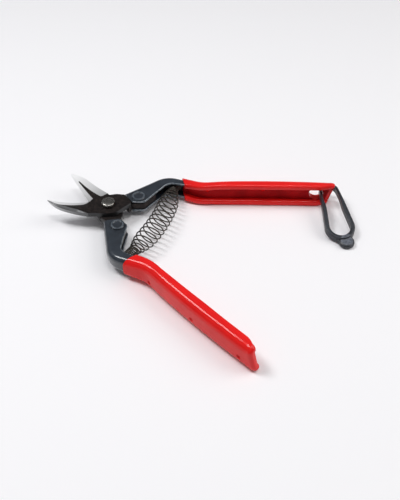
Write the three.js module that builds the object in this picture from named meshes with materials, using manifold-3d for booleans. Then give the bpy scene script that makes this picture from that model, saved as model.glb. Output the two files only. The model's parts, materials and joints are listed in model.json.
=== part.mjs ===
// Harvest scissors: two crossed halves on one pivot bolt, sprung open, with a strap that holds them shut.
// Millimetres and degrees. +Z is up, and +X runs from the blades to the handles along the centre line.
// Each half is drawn in its own frame: u along its closed axis, v away from the centre line, h up from
// the middle height of the tool. The lower half is the upper one turned over, without the strap and its
// hole, and with a blade that is bent the other way, so that both blades curve upwards.
import * as THREE from 'three';
import { mergeVertices } from 'three/addons/utils/BufferGeometryUtils.js';
import Module from 'manifold-3d';

const wasm = await Module();
wasm.setup();

// Fits
const seatGap = 0.3;              // between pieces that touch
const runningGap = 0.3;           // radial clearance of the bolt in what it passes through
const overrun = 2;                // how far a cutter runs past what it cuts
const weldDistance = 0.0003;      // corners closer than this are one corner

// Angles of the two halves, each off the centre line
const openHalfAngle = 27;         // held open by the spring
const closedHalfAngle = 5.5;      // fully closed, where the blade tips just pass

// Handle: a channel of folded sheet, its web outside and its flanges above and below
const sheetWall = 1.4;
const bendRadius = 1;             // inside radius of the folds
const headHeight = 8.4;           // channel height around the tang
const gripHeight = 14.1;          // channel height in the hand
const heightRun = 16;             // the channel is full height this far into the grip
const webStartU = 9.45;           // where the web's outer face begins
const webStartV = 10.47;
const shoulderHeading = 30;       // the web leaves the head outwards at this heading
const shoulderLength = 23.1;
const kneeRadius = 14;
const kneeTurn = -57;
const seatLength = 12.8;          // flat stretch that carries the spring
const elbowRadius = 20;
const elbowTurn = 25.6;
const gripLength = 74.5;
const gripBow = -6.3;             // gentle crown of the grip
const tailRadius = 8;
const tailTurn = -24;

// Flange depths, from the web's outer face to the flange's edge
const headFlange = 10;
const cornerFlange = 14.2;
const rampFlange = 10.5;
const kneeFlange = 9.1;
const seatFlange = 6.2;
const gripFlange = 4.6;
const palmFlange = 5.4;           // halfway along the grip
const tailFlange = 4.9;
const endFlange = 2.6;
const cornerRun = 6.3;            // leading edge to the deepest corner, along the web
const rampRun = 11.4;             // from that corner along the sloping edge
const tailTaper = 10;             // length over which the flanges run out
const tailCurve = 1.5;            // power of that run-out's curve
const tailSlant = 4.5;            // the end is cut back this far at the channel's lower side

// Vinyl grip, dipped over the channel
const vinylWall = 0.9;
const vinylPool = 1;              // inside fillet where the dip pools
const bareSeat = 5.7;             // bare steel on the spring's seat, before the vinyl
const dipSlant = 34;              // the vinyl's front edge is this far off square to the seat

// Blade, from the pivot to the tip
const tangThickness = 5;
const tangRun = 17;               // how far the tang reaches into the channel, along the web
const tangHide = 1;               // the tang's edge lies this far inside the flange's edge
const bladeReach = 36.6;
const heelReach = 12.3;           // pivot to the heel of the cutting edge
const heelOverlap = 0.3;          // the blade's root runs this far into the pivot plate
const edgeHeelV = 6.2;
const edgeTipV = 3.6;
const edgeHollow = 0.25;          // the edge line is slightly concave
const spineHeelV = -7.2;
const spineTipV = -1.2;
const noseRise = 3.8;             // the spine curves up to the edge over the nose
const noseStartShare = 0.64;
const bladeThickness = 3.1;
const noseThickness = 0.9;        // at the very tip
const bevelWidth = 3.6;
const bevelRise = 1.5;            // the ground bevel's height
const bevelRamp = 4;              // length over which the heel's steep bevel flattens
const edgeLand = 0.15;            // flat left along the honed edge
const spineChamfer = 1.2;
const hollowDepth = 0.3;          // hollow ground into the mating face
const hollowRim = 1.3;
const tipLift = 5.2;              // both blades curve upwards
const crowdShare = 1.6;           // power that crowds the sections towards the nose

// Widest that each feature may be on a narrow blade, as shares of the blade's width
const bevelShare = 0.5;
const chamferShare = 0.2;
const rimShare = 0.18;

// Where the hollow grows in and dies out, as shares of the blade's length
const hollowInShare = 0.2;
const hollowFadeShare = 0.72;
const hollowOutShare = 0.92;

// Pivot plate
const plateRise = 1.2;            // the mating plane lies this much above the tangs' middle
const plateHalfWidth = 8;
const backReach = 8.83;           // distance of the straight back edge from the pivot
const backAngle = 47.6;           // direction of that edge's normal, off the half's axis
const backStartRun = 0.5;         // where the straight back begins and ends, from the normal's foot
const backEndRun = 10.2;
const plateStepGap = 0.8;         // the thick plate ends this far before the channel
const stopGap = 0.4;              // back edge to the other half's shoulder when closed
const crownShares = [[1.02, 1.06], [0.6, 1.13], [0.1, 1.07], [-0.4, 0.98], [-0.83, 0.93]];
const frontShares = [[-1.05, 0.82], [-1.24, 0.66], [-1.4, 0.41]];
const bellyShares = [[-1, -0.92], [-0.4, -1.01], [0.2, -1.01], [0.55, -0.92]];

// Pivot bolt, washer and nut
const boltRadius = 3;
const boltHeadRadius = 4.1;
const boltHeadHeight = 2.5;
const boltChamfer = 0.5;
const boltTail = 1.2;             // thread that stands out of the nut
const washerRadius = 5.2;
const washerThickness = 0.8;
const nutAcrossFlats = 8.6;
const nutHeight = 3.2;
const nutChamfer = 0.5;

// Tang rivets
const rivetU = 18.4;
const rivetV = 6.1;
const rivetRadius = 2.3;
const rivetHeadRadius = 4.25;
const rivetHeadHeight = 0.55;
const rivetDishRadius = 2.5;
const rivetDishDepth = 0.35;
const rivetBevel = 0.2;

// Return spring, straight between the two knees when open
const springInset = 1;            // start of its flat seat to the spring's axis
const springWire = 0.8;
const springLowRadius = 3.1;      // radius of the wire's centre line at the lower half's end
const springHighRadius = 2.3;     // the same at the upper half's end
const springBellyRadius = 6.2;
const springBow = 4;              // the long spring bows away from the pivot
const springLean = 8;             // its open curls lean out of square
const springCurls = 30;
const lowEndCurls = 9;            // close curls at the lower end
const lowOpenCurls = 14;          // from here on the curls are wide and open
const highEndCurls = 2.5;         // the same two at the upper end
const highOpenCurls = 9;
const endPitch = 1.25;
const curlSteps = 8;
const wireSides = 5;
const pegRadius = 1.6;
const pegLength = 5;
const pegNose = 0.6;
const pegBaseRadius = 3.2;
const pegBaseThickness = 0.8;

// Locking strap: a flat moulded band, looped through a hole in the upper half's web
const strapHoleInset = 10.5;      // hole centre to the end of the channel, along the web
const strapHoleRadius = 4.5;
const strapBand = 1.6;
const strapHeight = 4.4;
const strapReach = 39.8;          // from the swivel to the middle of the tab
const strapNearInset = 5.4;       // centre of the band to the strap's axis, at the handle
const strapFarInset = 8.3;        // the same at the tab
const strapRestAngle = 18;        // how far it leans towards the tail at rest
const strapDroopPower = 1.5;      // of the curve by which it sinks to the table
const tabOffset = 1.5;            // the tab sits off the band's axis, towards the tail
const tabRadius = 4.5;
const tabThickness = 2.6;
const tabBevel = 0.5;
const tabBite = 2.4;              // how far the tab runs into the band
const tableGap = 0.4;             // tab and band over the table

// Smoothness of curved faces
const roundSides = 28;
const filletSteps = 3;
const bladeStations = 20;
const plateCurveSteps = 3;
const legSteps = [3, 8, 3, 6, 7, 5];
const taperShares = [0.3, 0.6];
const strapTurnSteps = 8;
const strapSideSteps = 6;

const paintedSteel = { color: 0x2f363f, roughness: 0.55, metalness: 0.35 };
const bladeSteel = { color: 0x332f2d, roughness: 0.42, metalness: 0.6 };
const redVinyl = { color: 0xd9201f, roughness: 0.28, metalness: 0 };
const nickelPlate = { color: 0x9c9a97, roughness: 0.28, metalness: 1 };
const springSteel = { color: 0x3a3735, roughness: 0.35, metalness: 0.9 };
const blackPlastic = { color: 0x161617, roughness: 0.45, metalness: 0 };

const rad = THREE.MathUtils.degToRad;
const { lerp, clamp, smoothstep } = THREE.MathUtils;

// Sizes that follow from the ones above
const vinylSkin = seatGap + vinylWall;
const midHeight = gripHeight / 2 + vinylSkin;
const matingGap = seatGap / 2;
const plateTop = matingGap + bladeThickness;
const tangTop = tangThickness / 2;

// Solids: closed meshes, joined and cut

function solidOf(geometry) {
  const bare = geometry.clone();
  bare.deleteAttribute('normal');
  bare.deleteAttribute('uv');
  const welded = mergeVertices(bare, weldDistance);
  return new wasm.Manifold(new wasm.Mesh({
    numProp: 3,
    vertProperties: new Float32Array(welded.attributes.position.array),
    triVerts: new Uint32Array(welded.index.array),
  }));
}

function geometryOf(solid) {
  const mesh = solid.getMesh();
  const geometry = new THREE.BufferGeometry();
  geometry.setAttribute('position', new THREE.BufferAttribute(mesh.vertProperties, mesh.numProp));
  geometry.setIndex(Array.from(mesh.triVerts));
  geometry.computeVertexNormals();
  return geometry;
}

function piece(name, geometry, look) {
  const mesh = new THREE.Mesh(geometry, new THREE.MeshStandardMaterial(look));
  mesh.name = name;
  return mesh;
}

function signedVolume(geometry) {
  const corners = geometry.attributes.position;
  const { array } = geometry.index;
  const [a, b, c] = [new THREE.Vector3(), new THREE.Vector3(), new THREE.Vector3()];
  let sum = 0;
  for (let i = 0; i < array.length; i += 3) {
    a.fromBufferAttribute(corners, array[i]);
    b.fromBufferAttribute(corners, array[i + 1]);
    c.fromBufferAttribute(corners, array[i + 2]);
    sum += a.dot(b.cross(c)) / 6;
  }
  return sum;
}

// The faces of one end of a loft whose ring bends inwards, wound as its ring is.
function capFaces(ring) {
  const first = ring[0];
  const away = ring.reduce((best, p) => (p.distanceTo(first) > best.distanceTo(first) ? p : best));
  const along = away.clone().sub(first).normalize();
  const sum = new THREE.Vector3();
  ring.forEach((p, j) => {
    const next = ring[(j + 1) % ring.length];
    sum.add(p.clone().sub(first).cross(next.clone().sub(first)));
  });
  const across = sum.normalize().cross(along);
  const outline = ring.map((p) => {
    const offset = p.clone().sub(first);
    return new THREE.Vector2(offset.dot(along), offset.dot(across));
  });
  return THREE.ShapeUtils.triangulateShape(outline, []).map(([a, b, c]) => {
    const turn = outline[b].clone().sub(outline[a]).cross(outline[c].clone().sub(outline[a]));
    return turn > 0 ? [a, b, c] : [a, c, b];
  });
}

// A closed mesh through rings of equal length: joined up, or with an end on each. An end is a fan about
// the ring's middle, or follows the ring where that bends inwards.
function loft(rings, ends) {
  const count = rings[0].length;
  const points = rings.flat();
  const faces = [];
  const spans = ends === 'joined' ? rings.length : rings.length - 1;
  for (let i = 0; i < spans; i++) {
    const next = (i + 1) % rings.length;
    for (let j = 0; j < count; j++) {
      const side = (j + 1) % count;
      faces.push(i * count + j, i * count + side, next * count + side);
      faces.push(i * count + j, next * count + side, next * count + j);
    }
  }
  const last = (rings.length - 1) * count;
  if (ends === 'bent') {
    capFaces(rings[0]).forEach(([a, b, c]) => faces.push(a, c, b));
    capFaces(rings.at(-1)).forEach(([a, b, c]) => faces.push(last + a, last + b, last + c));
  }
  if (ends === 'fan') {
    for (const ring of [rings[0], rings.at(-1)]) {
      const sum = ring.reduce((total, p) => total.add(p), new THREE.Vector3());
      points.push(sum.divideScalar(count));
    }
    for (let j = 0; j < count; j++) {
      const side = (j + 1) % count;
      faces.push(side, j, points.length - 2);
      faces.push(last + j, last + side, points.length - 1);
    }
  }
  const geometry = new THREE.BufferGeometry();
  const numbers = points.flatMap((p) => [p.x, p.y, p.z]);
  geometry.setAttribute('position', new THREE.Float32BufferAttribute(numbers, 3));
  geometry.setIndex(faces);
  if (signedVolume(geometry) < 0) geometry.index.array.reverse();
  return geometry;
}

// An upright prism on an outline of u and v, between two heights.
function prism(outline, low, high) {
  const options = { depth: high - low, bevelEnabled: false };
  const geometry = new THREE.ExtrudeGeometry(new THREE.Shape(outline), options);
  geometry.translate(0, 0, low);
  return solidOf(geometry);
}

// A turned solid about the vertical through (u, v), from rows of radius and height.
function turned(profile, u = 0, v = 0, sides = roundSides) {
  const geometry = new THREE.LatheGeometry(profile.map(([r, h]) => new THREE.Vector2(r, h)), sides);
  geometry.rotateX(Math.PI / 2);
  geometry.translate(u, v, 0);
  return solidOf(geometry);
}

function post(radius, low, high, u = 0, v = 0) {
  return turned([[0, low], [radius, low], [radius, high], [0, high]], u, v);
}

// The channel's path: the web's outer face, walked from the head to the tail

function pointOnLeg(leg, run) {
  const from = rad(leg.heading);
  const turn = rad(leg.turn) * run / leg.length;
  if (leg.turn === 0) {
    return { u: leg.u + run * Math.cos(from), v: leg.v + run * Math.sin(from), heading: from };
  }
  const radius = leg.length / rad(leg.turn);
  return {
    u: leg.u + radius * (Math.sin(from + turn) - Math.sin(from)),
    v: leg.v - radius * (Math.cos(from + turn) - Math.cos(from)),
    heading: from + turn,
  };
}

function walkWeb() {
  const legs = [
    { length: shoulderLength, turn: 0 },
    { length: kneeRadius * rad(-kneeTurn), turn: kneeTurn },
    { length: seatLength, turn: 0 },
    { length: elbowRadius * rad(elbowTurn), turn: elbowTurn },
    { length: gripLength, turn: gripBow },
    { length: tailRadius * rad(-tailTurn), turn: tailTurn },
  ];
  let place = { start: 0, heading: shoulderHeading, u: webStartU, v: webStartV };
  for (const leg of legs) {
    Object.assign(leg, place);
    const end = pointOnLeg(leg, leg.length);
    place = { start: leg.start + leg.length, heading: leg.heading + leg.turn, u: end.u, v: end.v };
  }
  return { legs, length: place.start };
}

const web = walkWeb();
const kneeStart = web.legs[1].start;
const seatStart = web.legs[2].start;
const gripStart = web.legs[4].start;
const vinylStart = seatStart + bareSeat;
const rivetRun = cornerRun + rivetHeadRadius;
const strapHoleRun = web.length - strapHoleInset;

// A place on the web's outer face, or some depth inside it. Past the end the path runs straight on.
function insideWeb(run, depth = 0, past = 0) {
  const leg = web.legs.findLast((each) => run >= each.start);
  const at = pointOnLeg(leg, run - leg.start);
  const [c, s] = [Math.cos(at.heading), Math.sin(at.heading)];
  return { u: at.u + past * c + depth * s, v: at.v + past * s - depth * c, heading: at.heading };
}

function channelHeight(run) {
  return lerp(headHeight, gripHeight, smoothstep(run, rivetRun, gripStart + heightRun));
}

function flangeDepth(run) {
  const taperStart = web.length - tailTaper;
  if (run >= taperStart) {
    const share = clamp((run - taperStart) / tailTaper, 0, 1);
    return lerp(tailFlange, endFlange, share ** tailCurve);
  }
  const stops = [
    [0, headFlange],
    [cornerRun, cornerFlange],
    [cornerRun + rampRun, rampFlange],
    [kneeStart, kneeFlange],
    [vinylStart, seatFlange],
    [gripStart, gripFlange],
    [gripStart + gripLength / 2, palmFlange],
    [taperStart, tailFlange],
  ];
  const next = stops.findIndex(([start]) => start > run);
  const [fromRun, fromDepth] = stops[next - 1];
  const [toRun, toDepth] = stops[next];
  return lerp(fromDepth, toDepth, (run - fromRun) / (toRun - fromRun));
}

// A quarter round from a flange's face into the web's, about a corner.
function fold(back, face, radius) {
  const points = [];
  for (let i = 0; i <= filletSteps; i++) {
    const angle = Math.PI / 2 * i / filletSteps;
    points.push([back + radius * (1 - Math.sin(angle)), face - radius * (1 - Math.cos(angle))]);
  }
  return points;
}

// The channel's section as rows of depth and height, grown by a skin on every face.
function channelSection(height, depth, skin, innerRadius) {
  const top = height / 2 + skin;
  const under = height / 2 - sheetWall - skin;
  const edge = depth + skin;
  const outer = [[edge, under], [edge, top], ...fold(-skin, top, bendRadius + sheetWall + skin)];
  const inner = fold(sheetWall + skin, under, innerRadius);
  const mirrored = (rows) => rows.map(([d, h]) => [d, -h]);
  return [...outer, ...mirrored(outer).toReversed(), ...mirrored(inner), ...inner.toReversed()];
}

function channelRing(run, skin, innerRadius, past = 0) {
  const section = channelSection(channelHeight(run), flangeDepth(run), skin, innerRadius);
  const slant = tailSlant * clamp(1 - (web.length - run) / tailTaper, 0, 1);
  return section.map(([depth, height]) => {
    const cutBack = slant * (1 / 2 - height / gripHeight);
    const { u, v } = insideWeb(run - cutBack, depth, past);
    return new THREE.Vector3(u, v, height);
  });
}

// Stations along the web: even steps on each leg, and where the flange's edge changes.
function stationsFrom(start) {
  const runs = [start, cornerRun, cornerRun + rampRun];
  web.legs.forEach((leg, i) => {
    for (let j = 0; j < legSteps[i]; j++) runs.push(leg.start + leg.length * j / legSteps[i]);
  });
  for (const share of taperShares) runs.push(web.length - tailTaper * (1 - share));
  const inside = runs.filter((run) => run >= start && run < web.length - sheetWall / 2);
  inside.sort((a, b) => a - b);
  const spaced = inside.filter((run, i) => i === 0 || run - inside[i - 1] > sheetWall / 2);
  return [...spaced, web.length];
}

// A round bar through the web, square to it.
function throughWeb(radius, from, to) {
  const at = insideWeb(strapHoleRun);
  const rows = [[0, -to], [radius, -to], [radius, -from], [0, -from]];
  const bar = new THREE.LatheGeometry(rows.map(([r, d]) => new THREE.Vector2(r, d)), roundSides);
  bar.rotateZ(at.heading);
  bar.translate(at.u, at.v, 0);
  return solidOf(bar);
}

function strapHole(radius) {
  return throughWeb(radius, -vinylSkin - overrun, sheetWall + vinylSkin + overrun);
}

function channel(withStrapHole) {
  const rings = stationsFrom(0).map((run) => channelRing(run, 0, bendRadius));
  const rivetHole = post(rivetRadius + seatGap, -gripHeight, gripHeight, rivetU, rivetV);
  const solid = solidOf(loft(rings, 'bent')).subtract(rivetHole);
  return geometryOf(withStrapHole ? solid.subtract(strapHole(strapHoleRadius + vinylSkin)) : solid);
}

// How far along the web the vinyl's slanted front edge lies, at a depth.
function dipShift(depth) {
  return Math.tan(rad(dipSlant)) * (depth - seatFlange / 2);
}

function dipRing() {
  const height = channelHeight(vinylStart);
  const section = channelSection(height, flangeDepth(vinylStart), vinylSkin, vinylPool);
  return section.map(([depth, h]) => {
    const { u, v } = insideWeb(vinylStart + dipShift(depth), depth);
    return new THREE.Vector3(u, v, h);
  });
}

// The dip covers web and flanges inside and out, and closes over the channel's tail.
function vinylSleeve(withStrapHole) {
  const dipReach = dipShift(seatFlange + vinylSkin);
  const runs = stationsFrom(vinylStart).filter((run) => run > vinylStart + dipReach);
  const roomFold = bendRadius - seatGap;
  const outer = runs.map((run) => channelRing(run, vinylSkin, vinylPool));
  outer.unshift(dipRing());
  outer.push(channelRing(web.length, vinylSkin, vinylPool, vinylSkin));
  const room = runs.map((run) => channelRing(run, seatGap, roomFold));
  room.unshift(channelRing(vinylStart, seatGap, roomFold, -dipReach - overrun));
  room.push(channelRing(web.length, seatGap, roomFold, seatGap));
  let solid = solidOf(loft(outer, 'bent')).subtract(solidOf(loft(room, 'bent')));
  if (withStrapHole) {
    solid = solid.add(throughWeb(strapHoleRadius + vinylWall, -vinylSkin, sheetWall + vinylSkin));
    solid = solid.subtract(strapHole(strapHoleRadius));
  }
  return geometryOf(solid);
}

// Blades. h is measured from the mating plane, and rise is 1 for the upper blade and -1 for the lower,
// which is drawn turned over.

function liftAt(u) {
  const start = heelReach - heelOverlap;
  const share = Math.max(-u - start, 0) / (bladeReach - start);
  return tipLift * share * share;
}

function edgeLine(share) {
  return lerp(edgeHeelV, edgeTipV, share) - edgeHollow * Math.sin(Math.PI * share);
}

// How far along the nose a section lies: 0 before the nose, 1 at the tip.
function noseAt(share) {
  return clamp((share - noseStartShare) / (1 - noseStartShare), 0, 1);
}

function spineLine(share) {
  return lerp(spineHeelV, spineTipV, share) + noseRise * noseAt(share) ** 2;
}

// One section: from the honed edge over the bevel, top, chamfer and spine, and back under the hollow.
function bladeRing(share, rise) {
  const length = bladeReach - heelReach;
  const u = -heelReach - share * length;
  const edge = edgeLine(share);
  const spine = spineLine(share);
  const width = edge - spine;
  const bevel = Math.min(bevelWidth, width * bevelShare);
  const thickness = lerp(bladeThickness, noseThickness, noseAt(share) ** 2);
  const heel = 1 - smoothstep(share * length, 0, bevelRamp);
  const groundTop = lerp(bevelRise * bevel / bevelWidth, bladeThickness, heel);
  const bevelTop = Math.min(groundTop, thickness / 2);
  const chamfer = Math.min(spineChamfer, width * chamferShare);
  const rim = Math.min(hollowRim, width * rimShare);
  const fade = 1 - smoothstep(share, hollowFadeShare, hollowOutShare);
  const hollow = hollowDepth * smoothstep(share, 0, hollowInShare) * fade;
  const rows = [
    [edge, matingGap],
    [edge, matingGap + edgeLand],
    [edge - bevel, matingGap + bevelTop],
    [spine + chamfer, matingGap + thickness],
    [spine, matingGap + thickness - chamfer],
    [spine, matingGap],
    [spine + rim, matingGap],
    [spine + 2 * rim, matingGap + hollow],
    [edge - 2 * rim, matingGap + hollow],
    [edge - rim, matingGap],
  ];
  return rows.map(([v, h]) => new THREE.Vector3(u, v, h + rise * (plateRise + liftAt(u))));
}

function bladeBody(rise) {
  const rings = [bladeRing(-heelOverlap / (bladeReach - heelReach), rise)];
  for (let i = 0; i <= bladeStations; i++) {
    rings.push(bladeRing(1 - (1 - i / bladeStations) ** crowdShare, rise));
  }
  return solidOf(loft(rings, 'fan'));
}

// Outline of the pivot plate and the tang, from the blade's heel round the back and home by the crown.
function plateOutline() {
  const shaped = (shares) => {
    const stops = shares.map(([a, b]) => new THREE.Vector2(a, b).multiplyScalar(plateHalfWidth));
    return new THREE.SplineCurve(stops).getPoints(plateCurveSteps * (stops.length - 1));
  };
  const normal = new THREE.Vector2(Math.cos(rad(backAngle)), -Math.sin(rad(backAngle)));
  const along = new THREE.Vector2(-normal.y, normal.x);
  const back = [backStartRun, backEndRun].map((run) => (
    normal.clone().multiplyScalar(backReach).addScaledVector(along, run)
  ));
  const webSide = sheetWall + bendRadius + seatGap;
  const tang = [
    insideWeb(0, headFlange - tangHide),
    insideWeb(cornerRun, cornerFlange - tangHide),
    insideWeb(tangRun, flangeDepth(tangRun) - tangHide),
    insideWeb(tangRun, webSide),
    insideWeb(0, webSide),
  ].map(({ u, v }) => new THREE.Vector2(u, v));
  return [
    new THREE.Vector2(-heelReach, spineHeelV),
    ...shaped(bellyShares),
    ...back,
    ...tang,
    ...shaped([...crownShares, ...frontShares]),
    new THREE.Vector2(-heelReach, edgeHeelV),
  ];
}

// A square region behind a straight line: the line's distance from the pivot, and its normal's angle.
function behindLine(reach, degrees) {
  const normal = new THREE.Vector2(Math.cos(rad(degrees)), Math.sin(rad(degrees)));
  const along = new THREE.Vector2(-normal.y, normal.x);
  const far = 2 * bladeReach;
  const corners = [[reach, -far], [reach, far], [-far, far], [-far, -far]];
  return corners.map(([a, b]) => normal.clone().multiplyScalar(a).addScaledVector(along, b));
}

// The plate stops short of the channel, and the tang goes on into it. The tang is full height only
// beyond the shoulder, which clears the other half's plate and meets its back edge at the end of the cut.
function blade(rise) {
  const outline = plateOutline();
  const heading = rad(shoulderHeading);
  const toChannel = webStartU * Math.cos(heading) + webStartV * Math.sin(heading);
  const nearChannel = behindLine(toChannel - plateStepGap, shoulderHeading);
  const relief = behindLine(backReach + stopGap, backAngle - 2 * closedHalfAngle);
  const low = rise * plateRise + matingGap;
  const high = rise * plateRise + plateTop;
  const plate = prism(outline, low, high).intersect(prism(nearChannel, low - overrun, high + overrun));
  const lap = prism(outline, low, Math.min(high, tangTop));
  const past = tangTop + overrun;
  const tang = prism(outline, -tangTop, tangTop).subtract(prism(relief, -past, past));
  const solid = plate.add(lap).add(tang).add(bladeBody(rise))
    .subtract(post(boltRadius + runningGap, low - overrun, high + overrun))
    .subtract(post(rivetRadius + seatGap, -past, past, rivetU, rivetV));
  return geometryOf(solid);
}

// A rivet through both flanges and the tang, its heads dished in the middle.
function tangRivet() {
  const seat = headHeight / 2 + seatGap;
  const top = seat + rivetHeadHeight;
  const half = [
    [rivetRadius, seat],
    [rivetHeadRadius, seat],
    [rivetHeadRadius, top - rivetBevel],
    [rivetHeadRadius - rivetBevel, top],
    [rivetDishRadius + rivetBevel, top],
    [rivetDishRadius, top - rivetDishDepth],
    [0, top - rivetDishDepth],
  ];
  const lower = half.toReversed().map(([r, h]) => [r, -h]);
  return geometryOf(turned([...lower, ...half], rivetU, rivetV));
}

// Pivot bolt, washer and nut, stacked down from the top of the upper plate

const boltSeat = plateRise + plateTop + seatGap;
const washerTop = plateRise - plateTop - seatGap;
const nutTop = washerTop - washerThickness - seatGap;
const boltEnd = nutTop - nutHeight - boltTail;

function pivotBolt() {
  const top = boltSeat + boltHeadHeight;
  return geometryOf(turned([
    [0, boltEnd],
    [boltRadius - boltChamfer, boltEnd],
    [boltRadius, boltEnd + boltChamfer],
    [boltRadius, boltSeat],
    [boltHeadRadius, boltSeat],
    [boltHeadRadius, top - boltChamfer],
    [boltHeadRadius - boltChamfer, top],
    [0, top],
  ]));
}

function pivotWasher() {
  const bore = boltRadius + runningGap;
  const disc = post(washerRadius, washerTop - washerThickness, washerTop);
  return geometryOf(disc.subtract(post(bore, washerTop - washerThickness - overrun, washerTop + overrun)));
}

function pivotNut() {
  const corner = nutAcrossFlats / 2 / Math.cos(Math.PI / 6);
  const low = nutTop - nutHeight;
  const hexagon = [];
  for (let i = 0; i < 6; i++) {
    const angle = i * Math.PI / 3;
    hexagon.push(new THREE.Vector2(corner * Math.cos(angle), corner * Math.sin(angle)));
  }
  const crown = turned([
    [0, low],
    [corner - nutChamfer, low],
    [corner, low + nutChamfer / 2],
    [corner, nutTop - nutChamfer / 2],
    [corner - nutChamfer, nutTop],
    [0, nutTop],
  ]);
  const bore = post(boltRadius + runningGap, low - overrun, nutTop + overrun);
  return geometryOf(prism(hexagon, low, nutTop).intersect(crown).subtract(bore));
}

// Spring and its pegs, drawn across the tool as it stands open

// Where the web's inner face begins to lie flat across the spring's axis.
function springSeat() {
  const { u, v } = insideWeb(seatStart, sheetWall);
  const open = rad(openHalfAngle);
  return {
    x: u * Math.cos(open) - v * Math.sin(open),
    y: u * Math.sin(open) + v * Math.cos(open),
  };
}

const springStation = springSeat().x + springInset;
const pegSeat = springSeat().y - seatGap;
const springEnd = pegSeat - pegBaseThickness - seatGap - springWire / 2;

// A peg on the inside of the web, turned about the spring's axis.
function springPeg() {
  const face = pegSeat - pegBaseThickness;
  const rows = [
    [0, face - pegLength],
    [pegRadius - pegNose, face - pegLength],
    [pegRadius, face - pegLength + pegNose],
    [pegRadius, face],
    [pegBaseRadius, face],
    [pegBaseRadius, pegSeat],
    [0, pegSeat],
  ];
  const geometry = new THREE.LatheGeometry(rows.map(([r, y]) => new THREE.Vector2(r, y)), roundSides);
  geometry.translate(springStation, 0, 0);
  return geometryOf(solidOf(geometry));
}

// How far a curl is from the close ones at the ends (0) to the open belly (1).
function openness(curl) {
  const fromLow = smoothstep(curl, lowEndCurls, lowOpenCurls);
  return fromLow * smoothstep(springCurls - curl, highEndCurls, highOpenCurls);
}

// Centre line of the right-handed wire, from the lower end to the upper one.
function springLine() {
  const steps = springCurls * curlSteps;
  const opened = [0];
  for (let i = 1; i <= steps; i++) opened.push(opened[i - 1] + openness((i - 1 / 2) / curlSteps));
  const spare = 2 * springEnd - springCurls * endPitch;
  const points = [];
  for (let i = 0; i <= steps; i++) {
    const curl = i / curlSteps;
    const open = openness(curl);
    const endRadius = curl < springCurls / 2 ? springLowRadius : springHighRadius;
    const radius = lerp(endRadius, springBellyRadius, open);
    const along = -springEnd + endPitch * curl + spare * opened[i] / opened[steps];
    const bowShare = Math.min(1, Math.abs(along) / (springEnd - pegLength));
    const x = springBow * Math.cos(Math.PI / 2 * bowShare) + radius * Math.cos(2 * Math.PI * curl);
    const z = -radius * Math.sin(2 * Math.PI * curl);
    points.push(new THREE.Vector3(x, along - Math.tan(rad(springLean)) * open * z, z));
  }
  const straightOn = (from, to) => to.clone().sub(from).setLength(springWire).add(to);
  points.unshift(straightOn(points[1], points[0]));
  points.push(straightOn(points.at(-2), points.at(-1)));
  return points;
}

// Least distance between turns, from the wire's points and its thickness.
function leastGap(points) {
  let least = Infinity;
  for (let i = 0; i < points.length; i++) {
    for (let j = i + curlSteps / 2; j < points.length; j++) {
      least = Math.min(least, points[i].distanceTo(points[j]) - springWire);
    }
  }
  return least;
}

// The wire's section at a point, square to the way it runs.
function wireRing(point, forward) {
  const side = new THREE.Vector3(0, 1, 0).cross(forward).normalize();
  const up = forward.clone().cross(side);
  const ring = [];
  for (let j = 0; j < wireSides; j++) {
    const angle = 2 * Math.PI * j / wireSides;
    ring.push(point.clone()
      .addScaledVector(side, springWire / 2 * Math.cos(angle))
      .addScaledVector(up, springWire / 2 * Math.sin(angle)));
  }
  return ring;
}

function returnSpring() {
  const points = springLine();
  console.log(`return_spring: least gap to itself ${leastGap(points).toFixed(2)} mm`);
  const rings = points.map((point, i) => {
    const before = points[Math.max(i - 1, 0)];
    const after = points[Math.min(i + 1, points.length - 1)];
    return wireRing(point, after.clone().sub(before).normalize());
  });
  const geometry = loft(rings, 'fan');
  geometry.translate(springStation, 0, 0);
  geometry.computeVertexNormals();
  return geometry;
}

// Locking strap, drawn from its swivel at the origin along +X, with h falling to the table

const strapDrop = midHeight - tableGap - strapHeight / 2;
const strapEnd = strapReach - tabRadius + tabBite - strapBand / 2;
const strapFarCentre = strapEnd - strapFarInset;

function strapDroop(x) {
  return -strapDrop * (Math.max(x, 0) / strapEnd) ** strapDroopPower;
}

// A half turn of the band about a centre, from one side to the other.
function strapTurn(centre, inset, from) {
  const path = [];
  for (let i = 0; i <= strapTurnSteps; i++) {
    const angle = from + Math.PI * i / strapTurnSteps;
    path.push({ x: centre + inset * Math.cos(angle), y: inset * Math.sin(angle), angle });
  }
  return path;
}

// One long side of the band, from the handle out to the tab.
function strapSide(side) {
  const path = [];
  for (let i = 1; i < strapSideSteps; i++) {
    const share = i / strapSideSteps;
    const y = side * lerp(strapNearInset, strapFarInset, share);
    path.push({ x: strapFarCentre * share, y, angle: side * Math.PI / 2 });
  }
  return path;
}

// The middle line of the band: round the handle, out, round the tab's end, and back.
function strapPath() {
  return [
    ...strapTurn(0, strapNearInset, Math.PI / 2),
    ...strapSide(-1),
    ...strapTurn(strapFarCentre, strapFarInset, -Math.PI / 2),
    ...strapSide(1).toReversed(),
  ];
}

function lockingStrap() {
  const rings = strapPath().map(({ x, y, angle }) => {
    const corners = [[-1, -1], [1, -1], [1, 1], [-1, 1]];
    return corners.map(([out, up]) => new THREE.Vector3(
      x + out * strapBand / 2 * Math.cos(angle),
      y + out * strapBand / 2 * Math.sin(angle),
      strapDroop(x) + up * strapHeight / 2,
    ));
  });
  const low = -midHeight + tableGap;
  const tab = turned([
    [0, low],
    [tabRadius - tabBevel, low],
    [tabRadius, low + tabBevel],
    [tabRadius, low + tabThickness - tabBevel],
    [tabRadius - tabBevel, low + tabThickness],
    [0, low + tabThickness],
  ], strapReach, tabOffset);
  return geometryOf(solidOf(loft(rings, 'joined')).add(tab));
}

// Assembly

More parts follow.
